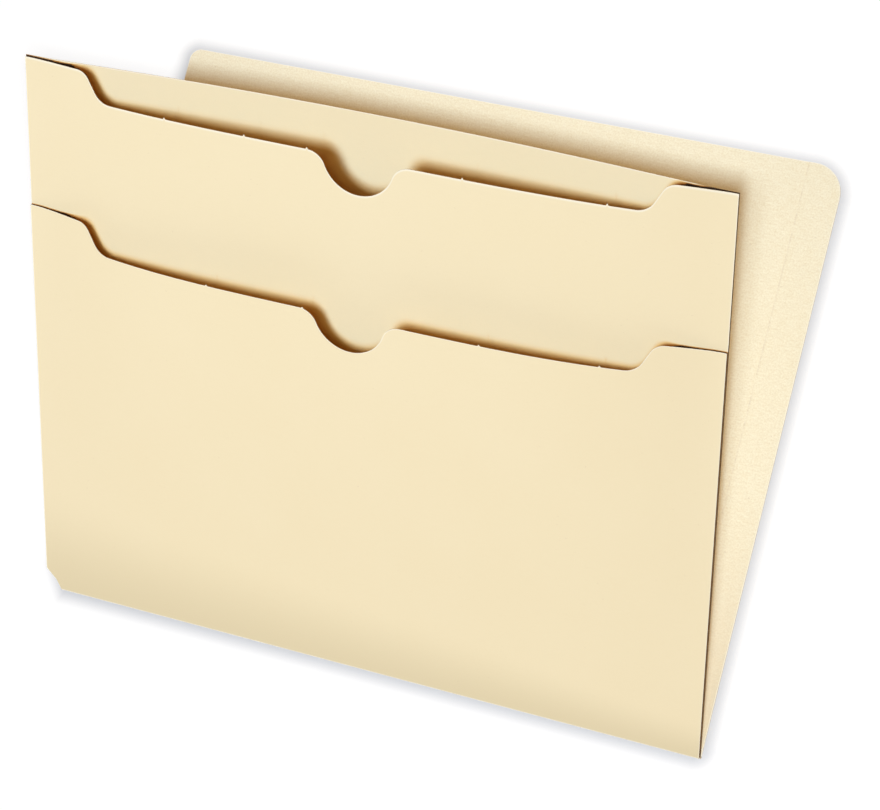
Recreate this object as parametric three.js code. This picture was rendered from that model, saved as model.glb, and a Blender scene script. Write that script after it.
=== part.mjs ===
// Side tab file folder, in millimetres, +Z up. It lies on its back cover, with the fold along X
// at the near side (-Y), and its front cover stands open. Two thumb-cut pockets are glued to the
// outside of the front cover, and a second ply of card stiffens the side tab of the back cover.
import * as THREE from 'three';

const INCH = 25.4;
const DEGREE = Math.PI / 180;

// Card, glue and the clearance on each side of a glue line
const CARD = 0.28;
const GLUE = 0.1;
const SEAT_GAP = 0.2;

// Covers
const COVER_WIDTH = 11.75 * INCH;
const COVER_HEIGHT = 9.5 * INCH;
const OUTER_CORNER_RADIUS = 0.5 * INCH;
const INNER_CORNER_RADIUS = 5;
const OPENING_ANGLE = 33 * DEGREE;
const COVER_BOW = 6.3;
const COVER_BOW_POWER = 2;

// Cut-off corner at the left end of the fold: a slanted cut and then a steeper one
const NOTCH_HEIGHT = 9.6;
const NOTCH_WAIST_HEIGHT = 4;
const NOTCH_WAIST_INSET = 5.6;
const NOTCH_FOOT_INSET = 6.5;

// Fold: the card turns up out of the back cover and ends in a bead that the front cover turns about
const CREASE_RADIUS = 0.5;
const BEAD_RADIUS = 0.3;
const BEAD_GAP = 0.3;
const CLOSED_GAP = 0.54;

// Side tab
const TAB_WIDTH = 0.625 * INCH;
const TAB_FOOT = 3;
const TAB_FILM_INSET = 0.5;

// Pockets
const POCKET_STEP = 2.5 * INCH;
const POCKET_TOP_DROP = 0.6;
const EAR_WIDTH = 30;
const EAR_DROP = 12;
const EAR_RADIUS = 8.5;
const THUMB_RADIUS = 14.5;
const THUMB_DEPTH = 15;
const THUMB_SHOULDER = 7;
const UPPER_BOW = 8;
const LOWER_BOW = 13;
const POCKET_BOW_POWER = 3;
const SEAM_WIDTH = 8;
const GLUE_INSET = 1;

// Fineness of curved pieces
const CORNER_STEPS = 6;
const THUMB_STEPS = 10;
const BEAD_STEPS = 12;
const COLUMN_PITCH = 18;
const SHEET_ROWS = 6;

// Worked out from the sizes above
const GLUE_LINE = GLUE + 2 * SEAT_GAP;
const FOLD_Y = -COVER_HEIGHT / 2;
const LEFT_X = -COVER_WIDTH / 2;
const FOLD_HEIGHT = CARD + GLUE + CARD + CLOSED_GAP;
const COVER_FOOT = BEAD_RADIUS + BEAD_GAP;
const UPPER_POCKET_BASE = CARD + GLUE_LINE;
const LOWER_POCKET_BASE = UPPER_POCKET_BASE + CARD + GLUE_LINE;

const AXIS_X = new THREE.Vector3(1, 0, 0);
const AXIS_Y = new THREE.Vector3(0, 1, 0);
const AXIS_Z = new THREE.Vector3(0, 0, 1);

function card(color) {
  return new THREE.MeshStandardMaterial({ color, roughness: 0.85, metalness: 0 });
}

function glueFilm() {
  return new THREE.MeshStandardMaterial({ color: 0xe9e2cc, roughness: 0.4, metalness: 0 });
}

function named(name, geometry, material) {
  const mesh = new THREE.Mesh(geometry, material);
  mesh.name = name;
  return mesh;
}

function plate(outline, thickness) {
  return new THREE.ExtrudeGeometry(outline, { depth: thickness, bevelEnabled: false, curveSegments: CORNER_STEPS });
}

// A flat block between two corners
function block(low, high) {
  const size = high.map((value, axis) => value - low[axis]);
  const geometry = new THREE.BoxGeometry(...size);
  geometry.translate(...low.map((value, axis) => value + size[axis] / 2));
  return geometry;
}

// Points of an arc from one angle to another, both in degrees
function arc(centreX, centreY, radius, fromDegrees, toDegrees, steps) {
  const points = [];
  for (let step = 0; step <= steps; step += 1) {
    const angle = (fromDegrees + ((toDegrees - fromDegrees) * step) / steps) * DEGREE;
    points.push([centreX + radius * Math.cos(angle), centreY + radius * Math.sin(angle)]);
  }
  return points;
}

// Left edge of the blank, whose corner is cut off beside the fold
function notchHeightAt(across) {
  if (across >= NOTCH_FOOT_INSET) return COVER_FOOT;
  if (across >= NOTCH_WAIST_INSET) {
    const share = (across - NOTCH_WAIST_INSET) / (NOTCH_FOOT_INSET - NOTCH_WAIST_INSET);
    return NOTCH_WAIST_HEIGHT + share * (COVER_FOOT - NOTCH_WAIST_HEIGHT);
  }
  return NOTCH_HEIGHT + (across / NOTCH_WAIST_INSET) * (NOTCH_WAIST_HEIGHT - NOTCH_HEIGHT);
}

// The back cover's outline, from where its bend at the fold begins
function backCoverOutline() {
  const outer = OUTER_CORNER_RADIUS;
  const inner = INNER_CORNER_RADIUS;
  const outline = new THREE.Shape();
  outline.moveTo(NOTCH_FOOT_INSET, CREASE_RADIUS);
  outline.lineTo(COVER_WIDTH, CREASE_RADIUS);
  outline.lineTo(COVER_WIDTH, COVER_HEIGHT - outer);
  outline.absarc(COVER_WIDTH - outer, COVER_HEIGHT - outer, outer, 0, Math.PI / 2, false);
  outline.lineTo(inner, COVER_HEIGHT);
  outline.absarc(inner, COVER_HEIGHT - inner, inner, Math.PI / 2, Math.PI, false);
  outline.lineTo(0, NOTCH_HEIGHT);
  outline.lineTo(NOTCH_WAIST_INSET, NOTCH_WAIST_HEIGHT);
  outline.closePath();
  return outline;
}

// The tab's strip, drawn in from the edges of the back cover by an inset
function tabOutline(inset) {
  const left = COVER_WIDTH - TAB_WIDTH + inset;
  const right = COVER_WIDTH - inset;
  const top = COVER_HEIGHT - inset;
  const radius = OUTER_CORNER_RADIUS - inset;
  const outline = new THREE.Shape();
  outline.moveTo(left, TAB_FOOT + inset);
  outline.lineTo(right, TAB_FOOT + inset);
  outline.lineTo(right, top - radius);
  outline.absarc(right - radius, top - radius, radius, 0, Math.PI / 2, false);
  outline.lineTo(left, top);
  outline.closePath();
  return outline;
}

// Section of the crease, with Y across and Z up: a quarter bend, a short rise and the bead on top
function creaseOutline() {
  const half = CARD / 2;
  const bendY = CREASE_RADIUS;
  const bendZ = CREASE_RADIUS + half;
  const meet = Math.asin(half / BEAD_RADIUS) / DEGREE;
  const points = [
    ...arc(bendY, bendZ, CREASE_RADIUS - half, 270, 180, CORNER_STEPS),
    ...arc(0, FOLD_HEIGHT, BEAD_RADIUS, -90 + meet, 270 - meet, BEAD_STEPS),
    ...arc(bendY, bendZ, CREASE_RADIUS + half, 180, 270, CORNER_STEPS),
  ];
  return new THREE.Shape(points.map(([y, z]) => new THREE.Vector2(y, z)));
}

// One end of a pocket lip: an ear, then an S-shaped drop of two arcs that meet at the ear's width
function earPath(top) {
  const sweep = Math.acos(1 - EAR_DROP / (2 * EAR_RADIUS));
  const reach = EAR_RADIUS * Math.sin(sweep);
  const degrees = sweep / DEGREE;
  return [
    ...arc(EAR_WIDTH - reach, top - EAR_RADIUS, EAR_RADIUS, 90, 90 - degrees, CORNER_STEPS),
    ...arc(EAR_WIDTH + reach, top - EAR_DROP + EAR_RADIUS, EAR_RADIUS, 270 - degrees, 270, CORNER_STEPS).slice(1),
  ];
}

// The thumb cut about its own centre: a bottom arc that meets a rounded shoulder on either side
function thumbPath(lip) {
  const reach = THUMB_RADIUS + THUMB_SHOULDER;
  const rise = reach - THUMB_DEPTH;
  const shoulderX = Math.sqrt(reach ** 2 - rise ** 2);
  const lean = Math.atan2(rise, shoulderX) / DEGREE;
  return [
    ...arc(-shoulderX, lip - THUMB_SHOULDER, THUMB_SHOULDER, 90, lean, CORNER_STEPS),
    ...arc(0, lip - THUMB_DEPTH + THUMB_RADIUS, THUMB_RADIUS, 180 + lean, 360 - lean, THUMB_STEPS).slice(1),
    ...arc(shoulderX, lip - THUMB_SHOULDER, THUMB_SHOULDER, 180 - lean, 90, CORNER_STEPS).slice(1),
  ];
}

// The upper edge of a sheet from left to right, straight over its seams and as given between them
function edgeBetweenSeams(top, middle) {
  return [
    [0, top],
    [NOTCH_WAIST_INSET, top],
    [NOTCH_FOOT_INSET, top],
    [SEAM_WIDTH, top],
    ...middle,
    [COVER_WIDTH - SEAM_WIDTH, top],
    [COVER_WIDTH, top],
  ];
}

// The lip of a pocket between its seams: ear, thumb cut, ear
function lipPath(top) {
  const centre = COVER_WIDTH / 2;
  const ear = earPath(top);
  const thumb = thumbPath(top - EAR_DROP);
  return [...ear, ...thumb.map(([x, y]) => [centre + x, y]), ...ear.map(([x, y]) => [COVER_WIDTH - x, y]).reverse()];
}

// Adds points between any two that lie further apart than a pitch
function spaced(path, pitch) {
  const points = [path[0]];
  for (let index = 1; index < path.length; index += 1) {
    const [fromX, fromY] = path[index - 1];
    const [toX, toY] = path[index];
    const parts = Math.max(1, Math.ceil((toX - fromX) / pitch));
    for (let part = 1; part <= parts; part += 1) {
      const share = part / parts;
      points.push([fromX + (toX - fromX) * share, fromY + (toY - fromY) * share]);
    }
  }
  return points;
}

// How far a sheet stands off its seams: nothing at them, most in the middle of its free edge
function bowAt(across, up, freeEdge, bow, power) {
  const halfSpan = COVER_WIDTH / 2 - SEAM_WIDTH;
  const sideways = Math.min(1, Math.abs(across - COVER_WIDTH / 2) / halfSpan);
  const upward = Math.max(0, up - SEAM_WIDTH) / (freeEdge - SEAM_WIDTH);
  return bow * (1 - sideways ** power) * upward;
}

// A closed sheet of card over a grid of points, each given by its column and row
function sheet(pointAt, columns, rows, thickness) {
  const position = [];
  const index = [];
  const layer = columns * rows;
  for (const lift of [0, thickness]) {
    for (let column = 0; column < columns; column += 1) {
      for (let row = 0; row < rows; row += 1) {
        const [x, y, z] = pointAt(column, row);
        position.push(x, y, z + lift);
      }
    }
  }
  const under = (column, row) => column * rows + row;
  const over = (column, row) => layer + under(column, row);
  const quad = (a, b, c, d) => index.push(a, b, c, a, c, d);
  for (let column = 1; column < columns; column += 1) {
    for (let row = 1; row < rows; row += 1) {
      quad(over(column - 1, row - 1), over(column, row - 1), over(column, row), over(column - 1, row));
      quad(under(column - 1, row - 1), under(column - 1, row), under(column, row), under(column, row - 1));
    }
    quad(under(column - 1, 0), under(column, 0), over(column, 0), over(column - 1, 0));
    quad(under(column, rows - 1), under(column - 1, rows - 1), over(column - 1, rows - 1), over(column, rows - 1));
  }
  for (let row = 1; row < rows; row += 1) {
    quad(under(0, row), under(0, row - 1), over(0, row - 1), over(0, row));
    quad(under(columns - 1, row - 1), under(columns - 1, row), over(columns - 1, row), over(columns - 1, row - 1));
  }
  const geometry = new THREE.BufferGeometry();
  geometry.setAttribute('position', new THREE.Float32BufferAttribute(position, 3));
  geometry.setIndex(index);
  geometry.computeVertexNormals();
  return geometry;
}

// A sheet held along its sides and the fold, from the fold up to its free edge
function heldSheet(edge, base, riseAt) {
  const path = spaced(edge, COLUMN_PITCH);
  const seamShare = SEAM_WIDTH / edge[0][1];
  const shares = [0, seamShare];
  for (let row = 1; row <= SHEET_ROWS; row += 1) {
    shares.push(seamShare + ((1 - seamShare) * row) / SHEET_ROWS);
  }
  const pointAt = (column, row) => {
    const [across, high] = path[column];
    const low = notchHeightAt(across);
    const up = low + (high - low) * shares[row];
    return [across, up, base + riseAt(across, up)];
  };
  return sheet(pointAt, path.length, shares.length, CARD);
}

// The front cover, whose free edge bows inwards, away from its pockets
function coverSheet() {
  const inwards = (across, up) => -bowAt(across, up, COVER_HEIGHT, COVER_BOW, COVER_BOW_POWER);
  return heldSheet(edgeBetweenSeams(COVER_HEIGHT, []), 0, inwards);
}

// A pocket, whose lip bows outwards
function pocketSheet(top, base, bow) {
  const outwards = (across, up) => bowAt(across, up, top - EAR_DROP, bow, POCKET_BOW_POWER);
  return heldSheet(edgeBetweenSeams(top, lipPath(top)), base, outwards);
}

// The three glue lines under a pocket: up either side and along the fold
function glueLines(pocket, top, base) {
  const low = base - SEAT_GAP - GLUE;
  const high = base - SEAT_GAP;
  const width = SEAM_WIDTH - 2 * GLUE_INSET;
  const right = COVER_WIDTH - GLUE_INSET;
  const spans = {
    left: [[GLUE_INSET, NOTCH_HEIGHT + GLUE_INSET, low], [GLUE_INSET + width, top - GLUE_INSET, high]],
    right: [[right - width, COVER_FOOT + GLUE_INSET, low], [right, top - GLUE_INSET, high]],
    bottom: [
      [SEAM_WIDTH + GLUE_INSET, COVER_FOOT + GLUE_INSET, low],
      [COVER_WIDTH - SEAM_WIDTH - GLUE_INSET, SEAM_WIDTH - GLUE_INSET, high],
    ],
  };
  return Object.entries(spans).map(([side, corners]) => {
    return named(`${pocket}_glue_${side}`, block(...corners), glueFilm());
  });
}

function foldCrease() {
  const length = COVER_WIDTH - NOTCH_FOOT_INSET;
  const geometry = plate(creaseOutline(), length);
  geometry.applyMatrix4(new THREE.Matrix4().makeBasis(AXIS_Y, AXIS_Z, AXIS_X));
  geometry.translate(NOTCH_FOOT_INSET, 0, 0);
  return named('fold_crease', geometry, card(0xf0e2bf));
}

// Back cover with its tab, lying flat, with its own corner at the end of the fold
function backHalf() {
  const half = new THREE.Group();
  const film = named('tab_adhesive', plate(tabOutline(TAB_FILM_INSET), GLUE), glueFilm());
  const ply = named('tab_reinforcement', plate(tabOutline(0), CARD), card(0xf9efd3));
  film.position.z = CARD;
  ply.position.z = CARD + GLUE;
  half.add(named('back_cover', plate(backCoverOutline(), CARD), card(0xf8eccd)), film, ply, foldCrease());
  half.position.set(LEFT_X, FOLD_Y, 0);
  return half;
}

// Front cover with its pockets, turned up about the fold
function frontHalf() {
  const half = new THREE.Group();
  const upperTop = COVER_HEIGHT - POCKET_TOP_DROP;
  const lowerTop = COVER_HEIGHT - POCKET_STEP;
  half.add(
    named('front_cover', coverSheet(), card(0xf5e8c6)),
    named('upper_pocket', pocketSheet(upperTop, UPPER_POCKET_BASE, UPPER_BOW), card(0xf4e6c3)),
    named('lower_pocket', pocketSheet(lowerTop, LOWER_POCKET_BASE, LOWER_BOW), card(0xf3e5c1)),
    ...glueLines('upper_pocket', upperTop, UPPER_POCKET_BASE),
    ...glueLines('lower_pocket', lowerTop, LOWER_POCKET_BASE),
  );
  half.position.set(LEFT_X, FOLD_Y, FOLD_HEIGHT);
  half.rotation.x = OPENING_ANGLE;
  return half;
}

const folder = new THREE.Group();
folder.add(backHalf(), frontHalf());

export default folder;
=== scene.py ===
"""Looks of a side tab file folder: manila card sheets, glue lines, floor, light and camera.

The folder lies on its back cover and its front cover stands open about the fold. Each card is one
closed sheet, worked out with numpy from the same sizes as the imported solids, in millimetres, and
placed in metres. A point of a half is given by u (across, from the left edge), v (up, from the
fold) and n (out of the half's face).
"""

import logging
from dataclasses import dataclass
from enum import Enum
from typing import Any, Callable, Optional, Sequence, Union

import bpy
import numpy as np
from mathutils import Matrix, Vector

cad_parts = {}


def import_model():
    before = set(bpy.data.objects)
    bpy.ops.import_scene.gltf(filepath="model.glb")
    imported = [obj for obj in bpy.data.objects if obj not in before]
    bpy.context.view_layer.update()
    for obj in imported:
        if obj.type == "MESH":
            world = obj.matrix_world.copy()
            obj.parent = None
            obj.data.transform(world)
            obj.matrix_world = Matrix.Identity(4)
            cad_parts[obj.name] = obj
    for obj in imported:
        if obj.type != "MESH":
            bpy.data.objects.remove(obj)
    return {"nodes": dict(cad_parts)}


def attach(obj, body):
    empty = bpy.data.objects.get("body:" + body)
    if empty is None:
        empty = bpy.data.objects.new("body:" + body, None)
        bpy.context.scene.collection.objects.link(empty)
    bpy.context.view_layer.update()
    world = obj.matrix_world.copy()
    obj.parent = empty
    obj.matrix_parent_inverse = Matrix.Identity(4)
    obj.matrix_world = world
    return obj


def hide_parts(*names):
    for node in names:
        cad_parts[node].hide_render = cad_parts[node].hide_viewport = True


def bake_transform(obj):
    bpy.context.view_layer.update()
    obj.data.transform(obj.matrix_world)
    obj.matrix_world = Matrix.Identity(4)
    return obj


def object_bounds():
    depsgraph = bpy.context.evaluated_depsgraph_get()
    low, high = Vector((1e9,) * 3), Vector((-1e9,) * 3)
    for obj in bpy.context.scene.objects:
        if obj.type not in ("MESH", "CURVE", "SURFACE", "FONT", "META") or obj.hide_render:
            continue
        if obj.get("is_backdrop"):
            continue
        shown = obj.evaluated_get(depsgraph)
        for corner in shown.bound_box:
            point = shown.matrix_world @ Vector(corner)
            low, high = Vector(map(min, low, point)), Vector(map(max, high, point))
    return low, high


Array = np.ndarray
Pair = tuple[float, float]
Triple = tuple[float, float, float]
MM = 0.001
LOG = logging.getLogger("folder")


class Side(Enum):
    """Which of its two faces a card shows, and so which half it is placed on."""

    INSIDE = "manila_inside"
    OUTSIDE = "manila_outside"


class Body(Enum):
    """The two halves of the folder, which turn about the fold."""

    BACK = "back_half"
    FRONT = "front_half"


# Sizes


@dataclass(frozen=True)
class Sizes:
    """Sizes shared by every piece, in millimetres and degrees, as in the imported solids."""

    width: float = 298.45
    height: float = 241.3
    card: float = 0.28
    glue: float = 0.1
    seat_gap: float = 0.2
    opening: float = 33.0
    closed_gap: float = 0.54
    seam: float = 8.0
    cover_foot: float = 0.6
    crease_start: float = 0.5
    notch_height: float = 9.6
    waist_height: float = 4.0
    waist_inset: float = 5.6
    foot_inset: float = 6.5
    inner_radius: float = 5.0
    outer_radius: float = 12.7

    @property
    def fold_height(self) -> float:
        """Height of the line that the front half turns about."""
        return 2 * self.card + self.glue + self.closed_gap

    @property
    def ply_step(self) -> float:
        """From the underside of one card of the front half to that of the next."""
        return self.card + self.glue + 2 * self.seat_gap

    def foot_at(self, across: Array, foot: float) -> Array:
        """Lower edge of a card: a straight foot with the corner cut off by two slanted cuts.

        Args:
            across: places along the fold.
            foot: height of the straight part.

        Returns:
            The height of the edge at each place, linear between the corners of the cuts.
        """
        corners = [0.0, self.waist_inset, self.foot_inset]
        return np.interp(across, corners, [self.notch_height, self.waist_height, foot])


@dataclass(frozen=True)
class Half:
    """Places points of one half in the row frame."""

    sizes: Sizes
    body: Body

    def place(self, across: Array, up: Array, out: Array) -> Array:
        """Turns (u, v, n) into the row frame: shift to the fold, then turn about it by the opening angle.

        Args:
            across: u in mm.
            up: v in mm.
            out: n in mm.

        Returns:
            Points in metres, one row each.
        """
        turn = np.radians(self.sizes.opening) if self.body is Body.FRONT else 0.0
        lift = self.sizes.fold_height if self.body is Body.FRONT else 0.0
        x = across - self.sizes.width / 2
        y = up * np.cos(turn) - out * np.sin(turn) - self.sizes.height / 2
        z = up * np.sin(turn) + out * np.cos(turn) + lift
        return np.stack([x, y, z], axis=-1).reshape(-1, 3) * MM


# Outlines


EDGE_COLUMNS = np.array([0.25, 0.6, 1.2])
"""Distances from a side edge, in mm, of the close columns over which the burr fades."""
CORNER_PITCH = 0.4
"""Greatest step along a rounded corner, in mm."""


def arc(centre: Sequence[float], radius: float, start: float, end: float, pitch: float = 0.7) -> Array:
    """Points of a circular arc: centre plus radius times (cos, sin) of an angle that runs evenly.

    Args:
        centre: (x, y).
        radius: radius in mm.
        start: first angle in degrees.
        end: last angle in degrees.
        pitch: greatest step along the arc in mm.

    Returns:
        Points, one row each.
    """
    steps = max(4, int(np.ceil(radius * np.radians(abs(end - start)) / pitch)))
    angle = np.radians(np.linspace(start, end, steps + 1))
    return np.stack([centre[0] + radius * np.cos(angle), centre[1] + radius * np.sin(angle)], axis=1)


def fill_gaps(points: Array, pitch: float) -> Array:
    """Adds evenly spaced points to every stretch of a path that is longer than a pitch.

    Args:
        points: the path, with u rising.
        pitch: greatest step across in mm.

    Returns:
        The denser path, by linear interpolation over the old points.
    """
    parts = np.maximum(1, np.ceil(np.diff(points[:, 0]) / pitch)).astype(int)
    index = np.repeat(np.arange(len(parts)), parts)
    first = np.repeat(np.cumsum(parts) - parts, parts)
    share = (np.arange(len(index)) - first) / parts[index]
    place = np.append(index + share, float(len(parts)))
    known = np.arange(len(points))
    return np.stack([np.interp(place, known, points[:, axis]) for axis in (0, 1)], axis=1)


@dataclass(frozen=True)
class Lip:
    """Upper edge of a pocket: an ear at either end and a thumb cut in the middle."""

    sizes: Sizes
    top: float
    nicks: tuple[float, ...]
    ear_width: float = 30.0
    ear_shift: float = 3.2
    ear_drop: float = 12.0
    ear_slope: float = 60.0
    crest_radius: float = 6.0
    valley_radius: float = 8.0
    thumb_shift: float = 1.3
    thumb_radius: float = 15.2
    thumb_depth: float = 15.0
    shoulder: float = 7.8
    nick_height: float = 0.85
    nick_width: float = 0.32
    nick_reach: float = 2.4
    nick_columns: int = 9
    sink: float = 0.7
    pitch: float = 2.5

    @property
    def low(self) -> float:
        """Height of the straight part of the lip."""
        return self.top - self.ear_drop

    def _ear(self, middle: float) -> Array:
        """The drop of a left ear: a tight arc, a straight slope and a wider arc.

        Args:
            middle: u halfway down the slope.

        Returns:
            Points (u, v). The straight part makes up what the arcs leave of the drop.
        """
        slope = np.radians(self.ear_slope)
        arcs = self.crest_radius + self.valley_radius
        straight = (self.ear_drop - arcs * (1 - np.cos(slope))) / np.sin(slope)
        half = (arcs * np.sin(slope) + straight * np.cos(slope)) / 2
        crest = (middle - half, self.top - self.crest_radius)
        valley = (middle + half, self.low + self.valley_radius)
        return np.vstack([arc(crest, self.crest_radius, 90, 90 - self.ear_slope),
                          arc(valley, self.valley_radius, 270 - self.ear_slope, 270)])

    def _thumb(self) -> Array:
        """The thumb cut about u = 0: a bottom arc that meets a rounded shoulder on either side.

        Returns:
            Points (u, v) from left to right.
        """
        reach = self.thumb_radius + self.shoulder
        rise = reach - self.thumb_depth
        beside = float(np.sqrt(reach ** 2 - rise ** 2))
        lean = float(np.degrees(np.arctan2(rise, beside)))
        left = arc((-beside, self.low - self.shoulder), self.shoulder, 90, lean)
        centre = (0.0, self.low - self.thumb_depth + self.thumb_radius)
        bottom = arc(centre, self.thumb_radius, 180 + lean, 360 - lean)
        right = arc((beside, self.low - self.shoulder), self.shoulder, 180 - lean, 90)
        return np.vstack([left, bottom[1:], right[1:]])

    def path(self) -> Array:
        """The whole edge from left to right, with a bell-shaped nick wherever the die held on.

        Returns:
            Points (u, v) with u rising. A nick adds height * exp(-(distance / width) squared), and the
            whole edge sinks evenly from left to right.
        """
        left, right = self._ear(self.ear_width + self.ear_shift), self._ear(self.ear_width)
        thumb, width = self._thumb(), self.sizes.width
        thumb[:, 0] += width / 2 + self.thumb_shift
        mirrored = np.stack([width - right[::-1, 0], right[::-1, 1]], axis=1)
        edge = np.vstack([[[0.0, self.top]], left, thumb, mirrored, [[width, self.top]]])
        edge = fill_gaps(edge, self.pitch)
        around = np.linspace(-self.nick_reach, self.nick_reach, self.nick_columns) * self.nick_width
        extra = (np.array(self.nicks)[:, None] + around[None, :]).ravel()
        across = np.concatenate([edge[:, 0], extra, EDGE_COLUMNS, width - EDGE_COLUMNS])
        across = np.unique(np.round(across, 4))
        height = np.interp(across, edge[:, 0], edge[:, 1])
        away = (across[:, None] - np.array(self.nicks)[None, :]) / self.nick_width
        height += self.nick_height * np.exp(-away ** 2).sum(axis=1) - self.sink * across / width
        return np.stack([across, height], axis=1)


# Sheets


UNDERSIDE_SHIFT = np.array([0.0, 0.0, -50.0])
"""Sets the underside's pattern apart from the outer face's, in mm."""


@dataclass
class Sheet:
    """A closed card: two layers of a grid, joined by its cut edges.

    Attributes:
        name: name of the piece.
        half: which half it is placed on.
        across: u of the grid, columns by rows.
        up: v of the grid.
        under: n of the card's underside.
        card: thickness in mm.
        rim: 0 inside the card, rising to 1 at a cut edge.
        pocket_shade_mask: how deep the painted shade inside a pocket is, 0 on open card, rising to 1 deep
            inside it; it holds for the outer face.
    """

    name: str
    half: Half
    across: Array
    up: Array
    under: Array
    card: float
    rim: Array
    pocket_shade_mask: Array

    def build(self) -> bpy.types.Object:
        """Makes the mesh: the upper layer is the under one moved along its normal by the thickness.

        Returns:
            The piece, with its face material in slot 0 and its cut edges in slot 1.
        """
        columns, rows = self.across.shape
        normal = grid_normals(self.across, self.up, self.under)
        lower = [self.across, self.up, self.under]
        upper = [low + self.card * part for low, part in zip(lower, normal)]
        points = np.vstack([self.half.place(*lower), self.half.place(*upper)])
        place = np.arange(columns * rows).reshape(columns, rows)
        faces, rims = sheet_faces(place, columns * rows)
        piece = mesh_piece(self.name, points, np.vstack([faces, rims]))
        data = piece.data
        material = np.zeros(len(faces) + len(rims), np.int32)
        material[len(faces):] = 1
        data.polygons.foreach_set("material_index", material)
        flat = np.stack([self.across, self.up, np.zeros_like(self.up)], axis=-1).reshape(-1, 3)
        store(data, "card_place", "FLOAT_VECTOR", np.vstack([flat + UNDERSIDE_SHIFT, flat]))
        store(data, "card_rim", "FLOAT", np.tile(self.rim.ravel(), 2))
        # The painted pocket shade goes on the outer face and on the cut edges, not on the underside.
        pocket_shade_mask = self.pocket_shade_mask.ravel()
        store(data, "card_painted_shade", "FLOAT", np.concatenate([np.zeros_like(pocket_shade_mask), pocket_shade_mask]))
        store(data, "edge_painted_shade", "FLOAT", np.tile(pocket_shade_mask, 2))
        mark_cut_edges(data, place, columns * rows)
        return piece


def grid_normals(across: Array, up: Array, out: Array) -> list[Array]:
    """Unit normals of a height grid, from the cross product of its two tangents, leaning to +n.

    Args:
        across: u of the grid.
        up: v of the grid.
        out: n of the grid.

    Returns:
        The three parts of the normals.
    """
    surface = np.stack([across, up, out], axis=-1)
    along, over = np.gradient(surface, axis=0), np.gradient(surface, axis=1)
    normal = np.cross(along, over)
    length, tiny = np.linalg.norm(normal, axis=-1, keepdims=True), 1e-9
    normal = np.where(length > tiny, normal / np.maximum(length, tiny), [0.0, 0.0, 1.0])
    normal[normal[..., 2] < 0] *= -1
    return [normal[..., axis] for axis in range(3)]


def sheet_faces(place: Array, layer: int) -> tuple[Array, Array]:
    """Quads of a closed sheet: the upper layer, the turned lower layer and the four rims.

    Args:
        place: index of each grid point in the lower layer.
        layer: how many points a layer has.

    Returns:
        The quads of the two faces and the quads of the rims, all facing outwards.
    """
    a, b, c, d = place[:-1, :-1], place[1:, :-1], place[1:, 1:], place[:-1, 1:]
    upper = np.stack([a, b, c, d], axis=-1).reshape(-1, 4) + layer
    lower = np.stack([a, d, c, b], axis=-1).reshape(-1, 4)
    loop = np.concatenate([place[:-1, 0], place[-1, :-1], place[:0:-1, -1], place[0, :0:-1]])
    after = np.roll(loop, -1)
    rim = np.stack([loop, after, after + layer, loop + layer], axis=1)
    return np.vstack([upper, lower]), rim


def mesh_piece(name: str, points: Array, quads: Array) -> bpy.types.Object:
    """A new object with a smooth-shaded mesh of quads, linked to the scene.

    Args:
        name: name of the object.
        points: vertices in metres.
        quads: four vertex indices a row.

    Returns:
        The object, at the origin.
    """
    data = bpy.data.meshes.new(name)
    data.vertices.add(len(points))
    data.vertices.foreach_set("co", points.astype(np.float32).ravel())
    data.loops.add(quads.size)
    data.loops.foreach_set("vertex_index", quads.astype(np.int32).ravel())
    data.polygons.add(len(quads))
    data.polygons.foreach_set("loop_start", np.arange(0, quads.size, 4, dtype=np.int32))
    data.polygons.foreach_set("loop_total", np.full(len(quads), 4, np.int32))
    data.polygons.foreach_set("use_smooth", np.ones(len(quads), bool))
    data.update(calc_edges=True)
    piece = bpy.data.objects.new(name, data)
    bpy.context.scene.collection.objects.link(piece)
    return piece


def store(data: bpy.types.Mesh, name: str, kind: str, values: Array) -> None:
    """Keeps a value for each vertex as a mesh attribute.

    Args:
        data: the mesh.
        name: name of the attribute.
        kind: FLOAT or FLOAT_VECTOR.
        values: one value or one row a vertex.
    """
    attribute = data.attributes.new(name, kind, "POINT")
    attribute.data.foreach_set("value" if kind == "FLOAT" else "vector", values.astype(np.float32).ravel())


def mark_cut_edges(data: bpy.types.Mesh, place: Array, layer: int) -> None:
    """Makes the edges between the faces and the rims sharp, so that the cut reads as a cut.

    Args:
        data: the mesh.
        place: index of each grid point in the lower layer.
        layer: how many points a layer has.
    """
    border = np.zeros(place.shape, bool)
    border[[0, -1], :] = border[:, [0, -1]] = True
    flag = np.zeros(2 * layer, bool)
    flag[place[border]] = flag[place[border] + layer] = True
    ends = np.zeros(len(data.edges) * 2, np.int32)
    data.edges.foreach_get("vertices", ends)
    ends = ends.reshape(-1, 2)
    same_layer = (ends[:, 0] < layer) == (ends[:, 1] < layer)
    sharp = data.attributes.new("sharp_edge", "BOOLEAN", "EDGE")
    sharp.data.foreach_set("value", flag[ends].all(axis=1) & same_layer)


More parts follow.
